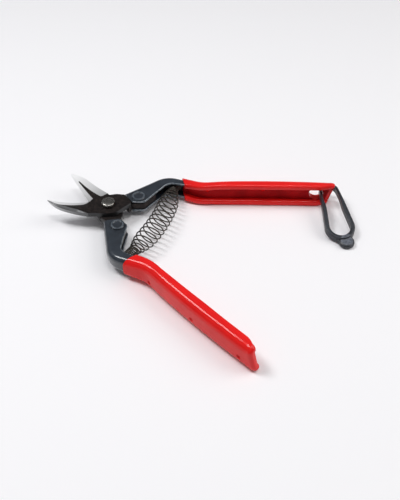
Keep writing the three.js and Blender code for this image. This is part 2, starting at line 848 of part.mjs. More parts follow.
function half(prefix, withStrapHole, rise) {
  const group = new THREE.Group();
  group.add(piece(`${prefix}_handle_channel`, channel(withStrapHole), paintedSteel));
  group.add(piece(`${prefix}_grip_vinyl`, vinylSleeve(withStrapHole), redVinyl));
  group.add(piece(`${prefix}_blade`, blade(rise), bladeSteel));
  group.add(piece(`${prefix}_tang_rivet`, tangRivet(), paintedSteel));
  const peg = piece(`${prefix}_spring_peg`, springPeg(), springSteel);
  peg.rotation.z = -rad(openHalfAngle);
  group.add(peg);
  return group;
}

// The strap swivels about the middle of the land between its hole and the channel's tail.
function placedStrap() {
  const landStart = strapHoleRun + strapHoleRadius;
  const landEnd = web.length + vinylSkin;
  const at = insideWeb((landStart + landEnd) / 2, sheetWall / 2);
  const strap = piece('locking_strap', lockingStrap(), blackPlastic);
  strap.position.set(at.u, at.v, 0);
  strap.rotation.z = at.heading - Math.PI / 2 + rad(strapRestAngle);
  return strap;
}

function assemble() {
  const tool = new THREE.Group();
  const upper = half('upper', true, 1);
  upper.add(placedStrap());
  upper.rotation.z = rad(openHalfAngle);
  const lower = half('lower', false, -1);
  lower.rotation.set(Math.PI, 0, rad(openHalfAngle), 'XYZ');
  tool.add(upper, lower);
  tool.add(piece('pivot_bolt', pivotBolt(), nickelPlate));
  tool.add(piece('pivot_washer', pivotWasher(), nickelPlate));
  tool.add(piece('pivot_nut', pivotNut(), nickelPlate));
  tool.add(piece('return_spring', returnSpring(), springSteel));
  return tool;
}

// Stand the tool on the table, its box's bottom middle at the origin.
const tool = assemble();
tool.updateMatrixWorld(true);
const box = new THREE.Box3().setFromObject(tool, true);
const centre = box.getCenter(new THREE.Vector3());
tool.position.set(-centre.x, -centre.y, -box.min.z);

export default tool;
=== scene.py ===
# Harvest scissors, dressed: fine meshes, finishes, light and the photograph's camera, round the packed
# frame. Sizes are in millimetres, and only what goes to Blender is in metres. Each half is drawn as it lies
# shut: u runs along its axis, v away from the centre line and h up from the tool's middle height.
import json
import math

import bmesh
import bpy
import numpy as np
from mathutils import Matrix, Vector


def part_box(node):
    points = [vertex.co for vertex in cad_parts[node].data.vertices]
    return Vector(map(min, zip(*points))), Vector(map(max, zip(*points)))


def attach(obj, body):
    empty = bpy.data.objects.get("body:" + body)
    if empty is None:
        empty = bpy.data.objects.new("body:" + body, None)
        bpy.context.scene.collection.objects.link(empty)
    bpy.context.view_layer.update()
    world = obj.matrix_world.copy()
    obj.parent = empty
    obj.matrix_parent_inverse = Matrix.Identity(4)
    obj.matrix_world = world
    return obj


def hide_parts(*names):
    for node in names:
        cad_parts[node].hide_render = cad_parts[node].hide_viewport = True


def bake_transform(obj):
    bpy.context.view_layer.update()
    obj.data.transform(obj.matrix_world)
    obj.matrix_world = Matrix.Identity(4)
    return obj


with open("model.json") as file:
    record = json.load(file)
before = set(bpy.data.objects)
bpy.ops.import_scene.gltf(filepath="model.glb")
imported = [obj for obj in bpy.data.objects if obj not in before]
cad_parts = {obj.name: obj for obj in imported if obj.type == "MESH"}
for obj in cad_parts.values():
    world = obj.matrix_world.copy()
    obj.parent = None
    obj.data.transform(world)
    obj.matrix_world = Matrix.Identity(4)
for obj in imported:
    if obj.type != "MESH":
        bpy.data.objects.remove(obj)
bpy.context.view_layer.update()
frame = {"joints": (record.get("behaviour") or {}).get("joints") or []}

MM = 0.001

# Fits and angles
SEAT_GAP = 0.3                    # between pieces that sit on each other
OPEN_HALF_ANGLE = math.radians(27)
MATING_GAP = SEAT_GAP / 2

# Handle channel
SHEET_WALL = 1.4
BEND_RADIUS = 1                   # inside the folds
FOLD_RADIUS = 3.3                 # outside them, as the paint and the vinyl fill them out
HEAD_HEIGHT = 8.4
GRIP_HEIGHT = 14.1
HEIGHT_RUN = 16                   # the channel has its full height from here along the grip
WEB_START = (9.45, 10.47)
SHOULDER_HEADING = 30
SHOULDER_LENGTH = 23.1
KNEE_RADIUS = 14
KNEE_TURN = -57
SEAT_LENGTH = 12.8
ELBOW_RADIUS = 20
ELBOW_TURN = 25.6
GRIP_LENGTH = 74.5
GRIP_BOW = -6.3
TAIL_RADIUS = 8
TAIL_TURN = -24

# Flange depths, and the lengths over which they change
HEAD_FLANGE = 10
CORNER_FLANGE = 14.2
RAMP_FLANGE = 10.5
KNEE_FLANGE = 9.1
SEAT_FLANGE = 6.2
GRIP_FLANGE = 4.6
PALM_FLANGE = 5.4
TAIL_FLANGE = 4.9
END_FLANGE = 2.6
CORNER_RUN = 6.3
RAMP_RUN = 11.4
TAIL_TAPER = 10
TAIL_CURVE = 1.5
TAIL_SLANT = 4.5                  # the tail's top reaches this much further than its underside
STEEL_CORNER_SOFTENING = 0.5      # the flange's corners are rounded over this run
VINYL_CORNER_SOFTENING = 3
SOFTENING_SAMPLES = 9
STATION_STEP = 1.1
LIP_STEPS, FOLD_STEPS, BEND_STEPS = 5, 8, 5
LIP_FLAT = 0.02                   # half the least flat between the two roundings of a flange's edge

# Vinyl
VINYL_WALL = 0.9
VINYL_POOL = 1
END_POOL = 1.1                    # vinyl gathered between the flanges at the very end
END_POOL_RUN = 4
END_ROUND = 2.4                   # rounding of the sleeve's closed end
END_SKIN = -0.5                   # the sleeve's section draws in to this past the sheet at its very end
END_STEP_DEGREES = 10
HIDDEN_CUT = 2                    # the sheet ends this much earlier inside the rounded sleeve
BARE_SEAT = 5.7
DIP_SLANT = 34                    # the vinyl's front edge is this many degrees off square
VINYL_SKIN = SEAT_GAP + VINYL_WALL
VINYL_LIP = 1.5                   # rounding of the dipped flange's edge
VINYL_CUT = 0.25                  # how far the sleeve's cut front edge draws in
VINYL_ROUNDING = 0.2
VINYL_SHARP_DEGREES = 60          # only edges sharper than this are rounded
STEEL_LIP = 0.5                   # rounding of the bare flange's edge
HOLE_RIM = 0.8                    # rounding of the strap's hole
HOLE_RIM_SEGMENTS = 5
DIMPLE_RADIUS = 1.6
DIMPLE_DEPTH = 0.9
DIMPLE_RUNS = (15, 50, 84)        # from the sleeve's front edge
DIMPLE_HEIGHT = 2.3
DIMPLE_SIDES, DIMPLE_STEPS = 32, 16

# Blade
TANG_THICKNESS = 5
TANG_RUN = 17
TANG_HIDE = 1                     # the tang ends this far inside the flanges' edges
BLADE_REACH = 36.6                # from the pivot
HEEL_REACH = 12.3
HEEL_OVERLAP = 0.3                # the blade runs this far into the plate
EDGE_HEEL, EDGE_TIP = 6.2, 3.6    # the places across the half of the cutting edge and the spine
EDGE_HOLLOW = 0.25
SPINE_HEEL, SPINE_TIP = -7.2, -1.2
NOSE_RISE = 3.8
NOSE_START_SHARE = 0.64
BLADE_THICKNESS = 3.1
NOSE_THICKNESS = 0.9
BEVEL_WIDTH = 3.6
BEVEL_RISE = 1.5
BEVEL_RAMP = 4.5
EDGE_LAND = 0.15
SPINE_CHAMFER = 1.9
SPINE_DROP = 1                    # how far the chamfer comes down
CHAMFER_RAMP = 7                  # the chamfer reaches its full width over this run
WEDGE_DEPTH = 0.3
TIP_LIFT = 5.2
CROWD_SHARE = 1.6                 # how much the blade's stations crowd towards its tip
BEVEL_SHARE, CHAMFER_SHARE = 0.5, 0.24    # at most these shares of the blade's width
WEDGE_SIDE_SHARE = 0.3            # the unground wedge in the mating face: its place from the cutting edge,
WEDGE_WIDTH_SHARE = 0.26          # its width at the heel,
WEDGE_SLOPE_SHARE = 0.04          # the slope of its sides, all as shares of the blade's width,
WEDGE_END_SHARE = 0.72            # and how far along the blade it ends
BLADE_STATIONS = 48

# Pivot plate
PLATE_RISE = 1.2
PLATE_HALF_WIDTH = 8
BACK_REACH = 8.83                 # the straight back edge's distance from the pivot, and its angle
BACK_ANGLE = 47.6
BACK_START_RUN, BACK_END_RUN = 0.5, 10.2
PLATE_STEP_GAP = 0.8
STOP_GAP = 0.4
CLOSED_HALF_ANGLE = 5.5
# Stops of the plate's outline, as shares of its half width
TOP_SHARES = [(1.02, 1.06), (0.6, 1.13), (0.1, 1.07), (-0.4, 0.98), (-0.83, 0.93),
              (-1.05, 0.82), (-1.24, 0.66), (-1.4, 0.41)]
BELLY_SHARES = [(-1, -0.92), (-0.4, -1.01), (0.2, -1.01), (0.55, -0.92)]
PLATE_CURVE_STEPS = 8
PLATE_TOP = MATING_GAP + BLADE_THICKNESS
STEEL_EDGE = 0.14                 # rounding of worked steel edges
FINE_SHARP_DEGREES = 25           # for small turned pieces, on which blunter edges are rounded too

# Bolt, washer, nut and rivets
BOLT_RADIUS = 3
BOLT_HEAD_RADIUS = 4.1
BOLT_DOME = 0.45
BOLT_DOME_STEPS = 8
BOLT_CHAMFER = 0.75               # the round rim of the head, and the chamfer of the other end
BOLT_RIM_DEGREES, BOLT_RIM_STEPS = 70, 6
BOLT_SEAT_CHAMFER = 0.15
BOLT_SHARP_DEGREES = 35
THREAD_PITCH = 0.8
THREAD_DEPTH = 0.35
RUNNING_GAP = 0.3
BORE_RADIUS = BOLT_RADIUS + RUNNING_GAP
WASHER_RADIUS = 5.2
WASHER_ROUNDING = 0.12
NUT_SIDES = 6
NUT_ACROSS_FLATS = 8.6
NUT_CHAMFER = 0.5
NUT_ROUNDING = 0.1
RIVET_U, RIVET_V = 18.4, 6.1
RIVET_RADIUS = 2.3
RIVET_HEAD_RADIUS = 4.25
RIVET_HEAD_HEIGHT = 0.55
RIVET_DISH_RADIUS = 2.5
RIVET_DISH_DEPTH = 0.35
RIVET_BEVEL = 0.4
RIVET_ROUNDING = 0.08
RIVET_HIGHLIT_BANDS = (2, 4, 8, 10)      # the bands painted paler as a highlight: each head's side and the ring round its dish
ROUND_SIDES = 96

# Spring and pegs
SPRING_INSET = 1
SPRING_WIRE = 0.8
SPRING_LOW_RADIUS = 3.1
SPRING_HIGH_RADIUS = 2.3
SPRING_BELLY_RADIUS = 6.2
SPRING_BOW = 4
SPRING_LEAN = 8
SPRING_CURLS = 30
LOW_END_CURLS, LOW_OPEN_CURLS = 9, 14     # counted from an end, the last close curl and the first open one
HIGH_END_CURLS, HIGH_OPEN_CURLS = 2.5, 9
END_PITCH = 1.25
CURL_STEPS = 28
WIRE_SIDES = 10
PEG_RADIUS = 1.6
PEG_LENGTH = 5
PEG_NOSE = 0.6
PEG_BASE_RADIUS = 3.2
PEG_BASE_THICKNESS = 0.8
PEG_ROUNDING = 0.15

# Locking strap
STRAP_HOLE_INSET = 10.5
STRAP_HOLE_RADIUS = 4.5
STRAP_BAND = 1.6
STRAP_SWELL = 1.05                # the band is this much thicker inwards, away from its swivel
STRAP_SWELL_START, STRAP_SWELL_END = 5, 16
STRAP_HEIGHT = 4.4
STRAP_REACH = 39.8
STRAP_NEAR_INSET, STRAP_FAR_INSET = 5.35, 8.3
STRAP_REST_ANGLE = 18
STRAP_DROOP_POWER = 1.5
STRAP_CORNER = 0.45
STRAP_TURN_STEPS, STRAP_CORNER_STEPS = 24, 3
TAB_OFFSET = 1.85                 # off the band's axis, away from the other grip's tail
TAB_RADIUS = 4.7
TAB_SHOULDERS = (-30, 40)         # the angles, from the band's end, where the tab's shoulders leave it
TAB_SHOULDER_STEPS = 8
TAB_THICKNESS = 2.6
TAB_BEVEL = 0.5
TAB_START = 4.5                   # where the tab starts, back from the strap's reach
TAB_BITE = 2.4                    # the band's end runs this far into the tab
TAB_SET_BACK = 1.15               # the tab's centre lies this much nearer than the strap's reach
TAB_FACE_RADIUS = 3.7             # raised round face on the tab
TAB_FACE_RISE = 0.35
TAB_FACE_SLOPE = 0.1
TAB_FACE_UPWARD = 0.7             # faces whose normals rise more than this get the face's grain and its painted sheen
TAB_SIDES = 64
TABLE_GAP = 0.4
STRAP_VOXEL = 0.22
STRAP_SMOOTHING = 8

# Camera: the photograph's place, angle and lens, found from the tool's outlines
CAMERA_TURN = math.radians(23.364)
CAMERA_TILT = math.radians(43.88)
CAMERA_FROM_PIVOT = (55.894, -307.50, 292.155)
PHOTO_HEIGHT_PIXELS = 500
FOCAL_PIXELS = 680.007
SENSOR = 36

joints = {joint["name"]: joint for joint in frame["joints"]}
PIVOT = Vector(joints["handle_pivot"]["pos_m"])
MID_HEIGHT = PIVOT.z / MM


# Small maths

def lerp(a, b, share):
    return a + (b - a) * share


def clamp(x):
    return min(max(x, 0), 1)


def smoothstep(x, low, high):
    share = clamp((x - low) / (high - low))
    return share * share * (3 - 2 * share)


def half_matrix(side, heading=OPEN_HALF_ANGLE):
    """From a half's own drawing to the frame: side is 1 for the upper half and -1 for the lower. A heading
    of 0 is for what stands across the tool, such as the spring's pegs."""
    over = Matrix.Rotation(0 if side > 0 else math.pi, 4, "X")
    turn = Matrix.Rotation(heading, 4, "Z")
    return Matrix.Translation(PIVOT) @ over @ turn @ Matrix.Scale(MM, 4)


TOOL = Matrix.Translation(PIVOT) @ Matrix.Scale(MM, 4)


# Meshes

NORMALS_WEIGHT = 60


def build(name, form, matrix, finishes=()):
    """An object from a form, placed by a matrix. A form is its points, its faces and each face's zone, the
    number of a finish."""
    points, faces, zones = form
    mesh = bpy.data.meshes.new(name)
    mesh.from_pydata([tuple(p) for p in points], [], faces)
    mesh.polygons.foreach_set("material_index", zones)
    for finish in finishes:
        mesh.materials.append(finish)
    mesh.transform(matrix)
    work = bmesh.new()
    work.from_mesh(mesh)
    bmesh.ops.recalc_face_normals(work, faces=work.faces)
    work.to_mesh(mesh)
    work.free()
    thing = bpy.data.objects.new(name, mesh)
    bpy.context.scene.collection.objects.link(thing)
    return thing


def settle(thing):
    """Turns the modifiers' result into the object's own mesh."""
    evaluated = thing.evaluated_get(bpy.context.evaluated_depsgraph_get())
    mesh = bpy.data.meshes.new_from_object(evaluated)
    thing.modifiers.clear()
    thing.data = mesh
    return thing


def combine(thing, other, operation):
    """Joins or cuts with another closed object, which is used up."""
    modifier = thing.modifiers.new(operation.title(), "BOOLEAN")
    modifier.operation = operation
    modifier.solver = "EXACT"
    modifier.object = other
    bpy.context.view_layer.update()
    settle(thing)
    bpy.data.objects.remove(other)
    return thing


def soften(thing, width, sharp_degrees=32, segments=2):
    """Rounds the sharp edges a little and shades the rest smoothly."""
    modifier = thing.modifiers.new("Rounding", "BEVEL")
    modifier.width = width * MM
    modifier.segments = segments
    modifier.limit_method = "ANGLE"
    modifier.angle_limit = math.radians(sharp_degrees)
    settle(thing)
    return shade(thing)


def smooth(thing):
    thing.data.polygons.foreach_set("use_smooth", [True] * len(thing.data.polygons))
    return thing


def shade(thing, sharp_degrees=50):
    """Smooth shading that keeps the flat faces flat and the sharp edges sharp."""
    smooth(thing).data.set_sharp_from_angle(angle=math.radians(sharp_degrees))
    weighted = thing.modifiers.new("Normals", "WEIGHTED_NORMAL")
    weighted.keep_sharp = True
    weighted.weight = NORMALS_WEIGHT
    return settle(thing)


def circle(radius, count):
    """Evenly spaced points, the first on the first axis."""
    angles = [2 * math.pi * i / count for i in range(count)]
    return [(radius * math.cos(angle), radius * math.sin(angle)) for angle in angles]


def loft(rings, zones=None, joined=False, cap_zone=0):
    """A closed skin through rings of equal length, with a face on each end unless it joins up. The zones of
    a span's sides are a list, or a function of the span's number."""
    count = len(rings[0])
    points = [p for ring in rings for p in ring]
    faces, marks = [], []
    spans = len(rings) if joined else len(rings) - 1
    for i in range(spans):
        here, there = i * count, (i + 1) % len(rings) * count
        for j in range(count):
            k = (j + 1) % count
            faces.append((here + j, here + k, there + k, there + j))
        marks += zones(i) if callable(zones) else zones or [0] * count
    if not joined:
        faces.append(tuple(range(count)))
        faces.append(tuple(range(len(points) - count, len(points))))
        marks += [cap_zone, cap_zone]
    return points, faces, marks


def turned(profile, sides=ROUND_SIDES, at=(0, 0), zones=None):
    """A solid turned about the vertical at a place, from rows of radius and height. Its first and last rows
    are on the axis."""
    points, rows = [], []
    for r, h in profile:
        if r == 0:
            rows.append([len(points)] * sides)
            points.append((at[0], at[1], h))
            continue
        rows.append(list(range(len(points), len(points) + sides)))
        points += [(at[0] + x, at[1] + y, h) for x, y in circle(r, sides)]
    faces, marks = [], []
    for n, (low, high) in enumerate(zip(rows, rows[1:])):
        for i in range(sides):
            k = (i + 1) % sides
            face = tuple(dict.fromkeys((low[i], low[k], high[k], high[i])))
            if len(face) > 2:
                faces.append(face)
                marks.append(zones[n] if zones else 0)
    return points, faces, marks


def rod(radius):
    """A round cutter that is longer than anything here is high."""
    return turned([(0, -GRIP_HEIGHT), (radius, -GRIP_HEIGHT), (radius, GRIP_HEIGHT), (0, GRIP_HEIGHT)])


def prism(outline, low, high, side_zone=0):
    """An upright prism on an outline."""
    rings = [[(u, v, h) for u, v in outline] for h in (low, high)]
    return loft(rings, [side_zone] * len(outline))


def clip(outline, reach, degrees, keep_near):
    """What lies on one side of a line, which is its distance from the pivot and its normal's angle."""
    normal = (math.cos(math.radians(degrees)), math.sin(math.radians(degrees)))
    sign = 1 if keep_near else -1

    def depth(p):
        return sign * (reach - p[0] * normal[0] - p[1] * normal[1])

    kept = []
    for p, q in zip(outline, outline[1:] + outline[:1]):
        a, b = depth(p), depth(q)
        if a >= 0:
            kept.append(p)
        if (a >= 0) != (b >= 0):
            share = a / (a - b)
            kept.append((lerp(p[0], q[0], share), lerp(p[1], q[1], share)))
    return kept


def spline(stops, steps):
    """A smooth line through the stops, with some steps between each two."""
    points = [Vector(p) for p in stops]
    result = []
    for i in range(len(points) - 1):
        before = points[max(i - 1, 0)]
        a, b = points[i], points[i + 1]
        after = points[min(i + 2, len(points) - 1)]
        for j in range(steps):
            t = j / steps
            value = (a * 2 + (b - before) * t + (before * 2 - a * 5 + b * 4 - after) * t ** 2
                     + (a * 3 - before - b * 3 + after) * t ** 3) / 2
            result.append(tuple(value))
    result.append(tuple(points[-1]))
    return result


# The channel's path: the web's outer face, walked from the head to the tail

def point_on_leg(leg, run):
    start = math.radians(leg["heading"])
    if leg["turn"] == 0:
        return leg["u"] + run * math.cos(start), leg["v"] + run * math.sin(start), start
    turn = math.radians(leg["turn"]) * run / leg["length"]
    radius = leg["length"] / math.radians(leg["turn"])
    u = leg["u"] + radius * (math.sin(start + turn) - math.sin(start))
    v = leg["v"] - radius * (math.cos(start + turn) - math.cos(start))
    return u, v, start + turn


def walk_web():
    legs = [
        {"length": SHOULDER_LENGTH, "turn": 0},
        {"length": KNEE_RADIUS * math.radians(-KNEE_TURN), "turn": KNEE_TURN},
        {"length": SEAT_LENGTH, "turn": 0},
        {"length": ELBOW_RADIUS * math.radians(ELBOW_TURN), "turn": ELBOW_TURN},
        {"length": GRIP_LENGTH, "turn": GRIP_BOW},
        {"length": TAIL_RADIUS * math.radians(-TAIL_TURN), "turn": TAIL_TURN},
    ]
    run, heading, (u, v) = 0, SHOULDER_HEADING, WEB_START
    for leg in legs:
        leg.update(start=run, heading=heading, u=u, v=v)
        u, v, _ = point_on_leg(leg, leg["length"])
        run += leg["length"]
        heading += leg["turn"]
    return legs, run


WEB, WEB_LENGTH = walk_web()
KNEE_START, SEAT_START, GRIP_START = WEB[1]["start"], WEB[2]["start"], WEB[4]["start"]
ELBOW_START = WEB[3]["start"]
VINYL_START = SEAT_START + BARE_SEAT
RIVET_RUN = CORNER_RUN + RIVET_HEAD_RADIUS
STRAP_HOLE_RUN = WEB_LENGTH - STRAP_HOLE_INSET
TAPER_START = WEB_LENGTH - TAIL_TAPER


def inside_web(run, depth=0, past=0):
    """A place on the web's outer face, or some depth inside it, and the heading there."""
    leg = [each for each in WEB if run >= each["start"] or each is WEB[0]][-1]
    u, v, heading = point_on_leg(leg, run - leg["start"])
    c, s = math.cos(heading), math.sin(heading)
    return u + past * c + depth * s, v + past * s - depth * c, heading


def channel_height(run):
    return lerp(HEAD_HEIGHT, GRIP_HEIGHT, smoothstep(run, RIVET_RUN, GRIP_START + HEIGHT_RUN))


def plain_depth(run):
    if run >= TAPER_START:
        return lerp(TAIL_FLANGE, END_FLANGE, clamp((run - TAPER_START) / TAIL_TAPER) ** TAIL_CURVE)
    runs = [0, CORNER_RUN, CORNER_RUN + RAMP_RUN, KNEE_START, VINYL_START, GRIP_START,
            GRIP_START + GRIP_LENGTH / 2, TAPER_START]
    depths = [HEAD_FLANGE, CORNER_FLANGE, RAMP_FLANGE, KNEE_FLANGE, SEAT_FLANGE, GRIP_FLANGE,
              PALM_FLANGE, TAIL_FLANGE]
    return float(np.interp(run, runs, depths))


def flange_depth(run, softening):
    """The flange's depth, with its corners rounded over a short run."""
    shares = np.linspace(-1, 1, SOFTENING_SAMPLES)
    return float(np.mean([plain_depth(min(max(run + softening * s, 0), WEB_LENGTH)) for s in shares]))


def arc(centre, radius, start, end, steps):
    """Points on a part of a circle, angles in degrees."""
    angles = np.radians(np.linspace(start, end, steps + 1))
    return [(centre[0] + radius * math.cos(a), centre[1] + radius * math.sin(a)) for a in angles]


def channel_section(height, depth, skin, inner_radius, lip, pool=0):
    """Rows of depth and height round the channel, and the zone of each side: 1 on the flanges' edges,
    2 inside on the web."""
    top = height / 2 + skin
    under = height / 2 - SHEET_WALL - skin
    edge = depth + skin
    lip = min(lip, (top - under) / 2 - LIP_FLAT)
    bend = min(FOLD_RADIUS, edge - lip)
    fold = bend + skin
    lips = (arc((edge - lip, under + lip), lip, -90, 0, LIP_STEPS)
            + arc((edge - lip, top - lip), lip, 0, 90, LIP_STEPS))
    outer = lips + arc((bend, top - fold), fold, 90, 180, FOLD_STEPS)
    deep = min(SHEET_WALL + skin + pool, edge - lip)
    inner = arc((deep + inner_radius, under - inner_radius), inner_radius, 90, 180, BEND_STEPS)
    mirrored_outer = [(d, -h) for d, h in reversed(outer)]
    mirrored_inner = [(d, -h) for d, h in inner]
    rows = outer + mirrored_outer + mirrored_inner + inner[::-1]
    lip_sides = len(lips) - 1
    zones = [0] * len(rows)
    for j in range(lip_sides):
        zones[j] = 1
        zones[len(outer) + len(mirrored_outer) - 2 - j] = 1
    for j in range(2 * len(outer), len(rows) - 1):
        zones[j] = 2
    return rows, zones


STEEL = (BEND_RADIUS, STEEL_LIP, STEEL_CORNER_SOFTENING)
VINYL = (VINYL_POOL, VINYL_LIP, VINYL_CORNER_SOFTENING)


def section_at(run, skin, kind, pool=0):
    """The section at a place, for the bare sheet (STEEL) or the sleeve (VINYL)."""
    inner_radius, lip, softening = kind
    return channel_section(channel_height(run), flange_depth(run, softening), skin, inner_radius, lip, pool)


def channel_point(run, depth, height, past=0):
    """A place on a channel's section. The tail's end is cut on a slant."""
    slant = TAIL_SLANT * clamp(1 - (WEB_LENGTH - run) / TAIL_TAPER)
    cut_back = slant * (0.5 - height / GRIP_HEIGHT)
    u, v, _ = inside_web(run - cut_back, depth, past)
    return u, v, height


def sleeve_ring(run, skin=VINYL_SKIN, past=0):
    """A ring of the sleeve. Near the front it slants, as the handle was dipped on a slant."""
    def rows_at(place):
        pool = END_POOL * smoothstep(place, WEB_LENGTH - END_POOL_RUN, WEB_LENGTH)
        return section_at(place, skin, VINYL, pool)[0]

    rows = rows_at(run)
    slant_left = max(0, 1 - (run - VINYL_START) / (ELBOW_START - VINYL_START))
    slant = math.tan(math.radians(DIP_SLANT)) * slant_left
    if slant == 0:
        return [channel_point(run, depth, height, past) for depth, height in rows]
    ring = []
    for j, (depth, _) in enumerate(rows):
        place = run + slant * (depth - SEAT_FLANGE / 2)
        ring.append(channel_point(place, *rows_at(place)[j], past))
    return ring


def stations(start, end):
    return list(np.linspace(start, end, max(2, round((end - start) / STATION_STEP))))


def sheet_rings():
    """The bare sheet, its two cut ends rounded a little."""
    def ring(run, inset=0):
        rows, _ = section_at(run, -inset, STEEL)
        return [channel_point(run, depth, height) for depth, height in rows]

    small = STEEL_LIP / 2
    _, zones = section_at(0, 0, STEEL)
    end = WEB_LENGTH - HIDDEN_CUT
    return [ring(0, small), *map(ring, stations(small, end - small)), ring(end, small)], zones


def sleeve_rings():
    """The dipped sleeve: a cut edge in front, and a round end that closes over the tail."""
    made = [sleeve_ring(VINYL_START, VINYL_SKIN - VINYL_CUT)]
    bend_start = WEB_LENGTH + VINYL_SKIN - END_ROUND
    made += [sleeve_ring(run) for run in stations(VINYL_START + VINYL_CUT, bend_start)]
    for degrees in range(END_STEP_DEGREES, 90 + 1, END_STEP_DEGREES):
        angle = math.radians(degrees)
        skin = lerp(END_SKIN, VINYL_SKIN, math.cos(angle))
        made.append(sleeve_ring(bend_start, skin, END_ROUND * math.sin(angle)))
    return made


def cut_strap_hole(thing, radius, matrix):
    """The round hole through the web, square to it, where the strap passes."""
    u, v, heading = inside_web(STRAP_HOLE_RUN)
    square = Matrix.Rotation(heading, 4, "Z") @ Matrix.Rotation(math.pi / 2, 4, "X")
    placed = matrix @ Matrix.Translation((u, v, 0)) @ square
    return combine(thing, build("cutter", rod(radius), placed), "DIFFERENCE")


def handle_channel(prefix, matrix, with_hole):
    rings, zones = sheet_rings()
    # the flanges' edges take the worn paint with its painted highlight
    finishes = [painted_steel, worn_and_highlit_edge, painted_steel]
    thing = build(f"{prefix}_folded_sheet", loft(rings, zones, cap_zone=1), matrix, finishes)
    if with_hole:
        cut_strap_hole(thing, STRAP_HOLE_RADIUS + VINYL_SKIN, matrix)
    return shade(thing)


def dimple_ball(u, v):
    """A round cutter for the small dents that the dipping frame's pins leave on both sides of the web."""
    arch = [(DIMPLE_RADIUS * math.sin(a), DIMPLE_HEIGHT - DIMPLE_RADIUS * math.cos(a))
            for a in np.linspace(0, math.pi, DIMPLE_STEPS + 1)]
    low, high = DIMPLE_HEIGHT - DIMPLE_RADIUS, DIMPLE_HEIGHT + DIMPLE_RADIUS
    return turned([(0, low), *arch[1:-1], (0, high)], DIMPLE_SIDES, (u, v))


def grip_sleeve(prefix, matrix, with_hole):
    """The dipped sleeve. Inside on the web, as far as the strap's hole, it is rougher and painted darker as
    shade.
    """
    _, zones = section_at(VINYL_START, VINYL_SKIN, VINYL)
    rings = sleeve_rings()
    painted_shade_rings = len(rings) * (STRAP_HOLE_RUN - VINYL_START) / (WEB_LENGTH - VINYL_START)
    sleeve = loft(rings, lambda i: zones if i < painted_shade_rings else [0] * len(zones))
    thing = build(f"{prefix}_dipped_sleeve", sleeve, matrix, [red_vinyl, red_vinyl, dull_vinyl_painted_shade])
    if with_hole:
        cut_strap_hole(thing, STRAP_HOLE_RADIUS, matrix)
        soften(thing, HOLE_RIM, VINYL_SHARP_DEGREES, HOLE_RIM_SEGMENTS)
    ball_out = VINYL_SKIN + DIMPLE_RADIUS - DIMPLE_DEPTH
    for run in DIMPLE_RUNS:
        for depth in (-ball_out, SHEET_WALL + ball_out):
            u, v, _ = inside_web(VINYL_START + run, depth)
            combine(thing, build("cutter", dimple_ball(u, v), matrix), "DIFFERENCE")
    return soften(thing, VINYL_ROUNDING, VINYL_SHARP_DEGREES)


# Blades. Rise is 1 for the upper blade and -1 for the lower.

def lift_at(u):
    """How far the blade curves upwards at a place along it."""
    start = HEEL_REACH - HEEL_OVERLAP
    return TIP_LIFT * (max(-u - start, 0) / (BLADE_REACH - start)) ** 2


def nose_at(share):
    """How far a place along the blade is into its nose."""
    return clamp((share - NOSE_START_SHARE) / (1 - NOSE_START_SHARE))


def blade_ring(share, rise):
    """The blade's section at a share of its length, from the cutting edge over the top to the spine and
    back along the mating face."""
    length = BLADE_REACH - HEEL_REACH
    u = -HEEL_REACH - share * length
    edge = lerp(EDGE_HEEL, EDGE_TIP, share) - EDGE_HOLLOW * math.sin(math.pi * share)
    spine = lerp(SPINE_HEEL, SPINE_TIP, share) + NOSE_RISE * nose_at(share) ** 2
    width = edge - spine
    bevel = min(BEVEL_WIDTH, width * BEVEL_SHARE)
    thickness = lerp(BLADE_THICKNESS, NOSE_THICKNESS, nose_at(share) ** 2)
    heel = (1 - clamp(share * length / BEVEL_RAMP)) ** 2
    bevel_top = lerp(min(BEVEL_RISE * bevel / BEVEL_WIDTH, thickness / 2), thickness - EDGE_LAND, heel)
    chamfer = lerp(STEEL_EDGE, SPINE_CHAMFER, smoothstep(share * length, 0, CHAMFER_RAMP))
    chamfer = min(chamfer, width * CHAMFER_SHARE)
    wedge_left = 1 - clamp(share / WEDGE_END_SHARE)
    wedge_edge = edge - WEDGE_SIDE_SHARE * width
    wedge_spine = wedge_edge - (WEDGE_WIDTH_SHARE * wedge_left + WEDGE_SLOPE_SHARE) * width
    slope = WEDGE_SLOPE_SHARE * width
    hollow = WEDGE_DEPTH * wedge_left
    rows = [
        (edge, 0),
        (edge, EDGE_LAND),
        (edge - bevel, bevel_top),
        (spine + chamfer, thickness),
        (spine, thickness - min(SPINE_DROP * chamfer / SPINE_CHAMFER, thickness / 2)),
        (spine, 0),
        (wedge_spine - slope, 0),
        (wedge_spine, hollow),
        (wedge_edge, hollow),
        (wedge_edge + slope, 0),
    ]
    base = MATING_GAP + rise * (PLATE_RISE + lift_at(u))
    return [(u, v, base + h) for v, h in rows]


DARK, GROUND, SPINE, CHAMFER = range(4)


def blade_zones(share):
    """The finish of each side of a ring: the wedge keeps its dark forging skin up to where it ends."""
    wedge = DARK if share < WEDGE_END_SHARE else GROUND
    return [GROUND, GROUND, DARK, CHAMFER, SPINE, GROUND, wedge, wedge, wedge, GROUND]


